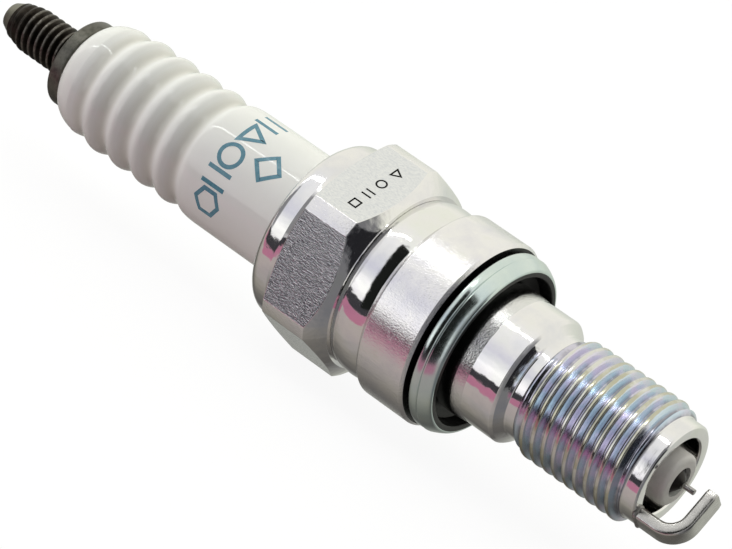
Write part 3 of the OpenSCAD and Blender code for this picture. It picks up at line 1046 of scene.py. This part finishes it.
def flatten_flats(mesh):
    """Flat shading on the hexagon's flats and in the marks, so that cuts leave no smeared highlights."""
    normals = [Vector((x, y, 0)) for x, y in ring_path(1, 6, HEX_TURN + 30)]
    level = 0.002
    for face in mesh.polygons:
        centre = face.center / MM
        near = max(normals, key=centre.dot)
        depth = HEX_R - centre.dot(near)
        in_flat = abs(depth) < level and face.normal.dot(near) > 0.9999
        near_marks = abs(centre.z - STAMP_Z) < 0.8 and hypot(centre.x, centre.y) < HEX_CORNER_R - 0.3
        in_mark = near_marks and level < depth < STAMP_DEPTH + 0.01
        if in_flat or in_mark:
            face.use_smooth = False
    sharp = {key for face in mesh.polygons if not face.use_smooth for key in face.edge_keys}
    for edge in mesh.edges:
        if edge.key in sharp:
            edge.use_edge_sharp = True


# ------------------------ pieces

def mount_piece(piece, body, slot, *nodes):
    """Gives a piece its body, and hides the CAD nodes that it replaces. Its slot is not used."""
    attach(piece, body)
    if nodes:
        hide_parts(*nodes)
    return piece


shell = build_shell()
stamp(shell)
# The centre electrode's nickel is near black, far darker than the strip's: painted shade for the insulator's
# bore.
nickel = brushed_nickel("electrode_nickel_painted_shade", (0.045, 0.042, 0.04), 0.38)
mount_piece(shell, "plug", "plated_steel", "metal_shell")
mount_piece(build_gasket(), "captive_gasket", "gasket_steel", "gasket")
mount_piece(build_insulator(), "plug", "glazed_alumina", "insulator")
mount_piece(build_terminal(), "plug", "blackened_steel", "terminal_stud")
mount_piece(build_centre_electrode(nickel), "plug", "nickel_alloy", "centre_electrode")
mount_piece(build_needle(), "plug", "precious_metal", "fine_wire_tip")
mount_piece(build_ground_electrode(), "plug", "nickel_alloy", "ground_electrode")
mount_piece(build_weld(), "plug", "nickel_alloy")
mount_piece(build_print(), "plug", "glazed_alumina")

inner_finishes = {
    "upper_wire_ring": brushed_nickel("ring_steel", (0.5, 0.5, 0.5), 0.35),
    "lower_wire_ring": brushed_nickel("ring_steel_low", (0.5, 0.5, 0.5), 0.35),
    "seat_washer": brushed_nickel("washer_steel", (0.55, 0.55, 0.54), 0.35),
    "talc_fill": powder("pressed_talc", (0.62, 0.60, 0.55), (0.78, 0.76, 0.70)),
    "upper_glass_seal": glassy("upper_seal_glass", (0.10, 0.10, 0.11), (0.28, 0.26, 0.24)),
    "lower_glass_seal": glassy("lower_seal_glass", (0.10, 0.10, 0.11), (0.28, 0.26, 0.24)),
    "resistor": powder("resistor_core", (0.13, 0.08, 0.06), (0.24, 0.16, 0.11)),
    "copper_core": copper(),
}
for node_name, finish in inner_finishes.items():
    node_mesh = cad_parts[node_name].data
    node_mesh.materials.clear()
    node_mesh.materials.append(finish)


# ------------------------ studio

CAMERA_AT = Vector((-63.325, -233.519, -107.215)) * MM
CAMERA_FORWARD = Vector((0.23292, 0.86927, 0.43602))
CAMERA_UP = Vector((0.72548, -0.45390, 0.51736))
CAMERA_LENS = 177.1
CAMERA_SENSOR = 36
STUDIO_TURN = -105.0         # side the photo was taken from; the studio's azimuth starts here, in every view
UP_LIGHT = 0.6               # share by which diffuse light grows towards +Z
BASE_LIGHT = 0.14


def build_camera():
    """The photo's camera, fitted in the object's frame."""
    data = bpy.data.cameras.new("camera")
    data.lens = CAMERA_LENS
    data.sensor_width = CAMERA_SENSOR
    data.clip_start = 0.01
    data.clip_end = 20
    camera = bpy.data.objects.new("camera", data)
    bpy.context.scene.collection.objects.link(camera)
    back = -CAMERA_FORWARD.normalized()
    right = CAMERA_UP.cross(back).normalized()
    up = back.cross(right)
    camera.matrix_world = Matrix.Translation(CAMERA_AT) @ Matrix((right, up, back)).transposed().to_4x4()
    bpy.context.scene.camera = camera


def smooth_step(tree, value, low, high):
    """0 below low, 1 above high, smooth between."""
    node = add(tree, "ShaderNodeMapRange", interpolation_type="SMOOTHSTEP")
    tree.links.new(value, node.inputs["Value"])
    node.inputs["From Min"].default_value = low
    node.inputs["From Max"].default_value = high
    return node.outputs[0]


def window(tree, value, low, high, soft):
    """1 between low and high, fading over soft degrees."""
    rise = smooth_step(tree, value, low - soft, low + soft)
    fall = smooth_step(tree, value, high - soft, high + soft)
    return calc(tree, "SUBTRACT", rise, fall)


def studio_sides(tree, azimuth):
    """The studio's colour by azimuth alone, from -180 to 180 degrees."""
    return ramp(tree, calc(tree, "DIVIDE", calc(tree, "ADD", azimuth, 180), 360), [
        (0.00, (0.60, 0.61, 0.56)), (0.05, (0.30, 0.30, 0.28)), (0.097, (0.115, 0.11, 0.105)),
        (0.153, (0.18, 0.17, 0.155)), (0.194, (0.30, 0.28, 0.25)), (0.236, (0.40, 0.37, 0.35)),
        (0.264, (0.45, 0.40, 0.38)), (0.345, (0.50, 0.44, 0.43)), (0.394, (1.02, 1.0, 1.04)),
        (0.431, (1.26, 1.25, 1.26)), (0.472, (0.90, 0.91, 0.94)), (0.50, (0.76, 0.76, 0.85)),
        (0.556, (0.93, 0.93, 0.93)), (0.61, (1.0, 1.0, 1.0)), (0.708, (0.99, 0.98, 0.91)),
        (0.861, (0.99, 0.98, 0.91)), (0.917, (0.76, 0.79, 0.71)), (1.0, (0.60, 0.61, 0.56)),
    ])


def studio_colour(tree, direction, azimuth, height):
    """The studio with its dark, rosy and bright areas, each laid over the ones before."""
    tall = window(tree, height, -30, 66, 4)
    below = smooth_step(tree, calc(tree, "MULTIPLY", height, -1), 32, 52)
    sides = {0: direction, 1: Vector((0.012, 0.046, -0.999)).normalized()}
    near = add(tree, "ShaderNodeVectorMath", sides, operation="DOT_PRODUCT").outputs["Value"]
    straight_below = smooth_step(tree, near, cos(radians(22)), cos(radians(20.8)))
    areas = [
        # darker above
        (window(tree, azimuth, -38, 38, 6), smooth_step(tree, height, 44, 54), (0.26, 0.26, 0.27)),
        # rosy strip and dark edge
        (window(tree, azimuth, -66, -53, 1.5), tall, (0.50, 0.20, 0.30)),
        (window(tree, azimuth, -53, -39, 0.8), tall, (0.05, 0.048, 0.055)),
        # dark opening on the photo's side
        (window(tree, azimuth, -44, 40, 1.5), window(tree, height, -34, 12, 1.5), (0.012, 0.013, 0.012)),
        # dim underside, and darker still straight below
        (below, window(tree, azimuth, -170, 72, 10), (0.19, 0.19, 0.20)),
        (straight_below, 1.0, (0.02, 0.02, 0.023)),
        # thin bright strip
        (window(tree, azimuth, 49, 51.5, 0.5), window(tree, height, 5, 60, 3), (8.5, 8.5, 8.5)),
    ]
    colour = studio_sides(tree, azimuth)
    for across, along, tint in areas:
        colour = mixed(tree, calc(tree, "MULTIPLY", across, along), colour, tint)
    return colour


def build_world():
    """A studio fixed in the object's directions, plain white for the camera's own rays."""
    world = bpy.data.worlds.new("studio")
    bpy.context.scene.world = world
    world.use_nodes = True
    tree = world.node_tree
    tree.nodes.clear()
    inputs = {"Vector": add(tree, "ShaderNodeTexCoord").outputs["Generated"], "Angle": radians(-STUDIO_TURN)}
    direction = add(tree, "ShaderNodeVectorRotate", inputs, rotation_type="Z_AXIS").outputs[0]
    parts = add(tree, "ShaderNodeSeparateXYZ", {"Vector": direction})
    turn = calc(tree, "ARCTAN2", parts.outputs["Y"], parts.outputs["X"])
    azimuth = calc(tree, "MULTIPLY", turn, degrees(1))
    height = calc(tree, "MULTIPLY", calc(tree, "ARCSINE", parts.outputs["Z"]), degrees(1))
    rays = add(tree, "ShaderNodeLightPath")
    studio = studio_colour(tree, direction, azimuth, height)
    colour = mixed(tree, rays.outputs["Is Camera Ray"], studio, (1.0, 1.0, 1.0))
    slanted = calc(tree, "MULTIPLY_ADD", parts.outputs["Z"], UP_LIGHT, BASE_LIGHT)
    strength = calc(tree, "MULTIPLY_ADD", rays.outputs["Is Diffuse Ray"], slanted, 1.0)
    background = add(tree, "ShaderNodeBackground", {"Color": colour, "Strength": strength})
    output = add(tree, "ShaderNodeOutputWorld")
    tree.links.new(background.outputs[0], output.inputs["Surface"])


def floor_material():
    """Pale floor, mostly its own light and clear from underneath."""
    material, tree, shader = new_material("pale_floor")
    set_up(tree, shader, (0.9, 0.9, 0.9), 0.8, 0.0)
    glow = add(tree, "ShaderNodeEmission", {"Color": (1, 1, 1, 1), "Strength": 1.02})
    lit = add(tree, "ShaderNodeMixShader", {0: 0.9, 1: shader.outputs[0], 2: glow.outputs[0]})
    clear = add(tree, "ShaderNodeBsdfTransparent")
    back = add(tree, "ShaderNodeNewGeometry").outputs["Backfacing"]
    surface = add(tree, "ShaderNodeMixShader", {0: back, 1: lit.outputs[0], 2: clear.outputs[0]})
    tree.links.new(surface.outputs[0], tree.nodes["Material Output"].inputs["Surface"])
    return material


def build_floor():
    """Floor that the plug lies on, hidden from reflections and from diffuse light."""
    up = Vector((CAMERA_UP.x, CAMERA_UP.y, 0)).normalized()
    drop = (HEX_CORNER_R + 0.1) * MM
    bm = bmesh.new()
    bmesh.ops.create_grid(bm, x_segments=8, y_segments=8, size=1.6)
    mesh = bpy.data.meshes.new("floor")
    bm.to_mesh(mesh)
    bm.free()
    floor = bpy.data.objects.new("floor", mesh)
    bpy.context.scene.collection.objects.link(floor)
    facing = up.to_track_quat("Z", "Y").to_matrix().to_4x4()
    floor.matrix_world = Matrix.Translation(-up * drop) @ facing
    mesh.materials.append(floor_material())
    floor.visible_glossy = False
    floor.visible_diffuse = False


build_camera()
build_world()
build_floor()
bpy.context.scene.view_settings.view_transform = "Standard"
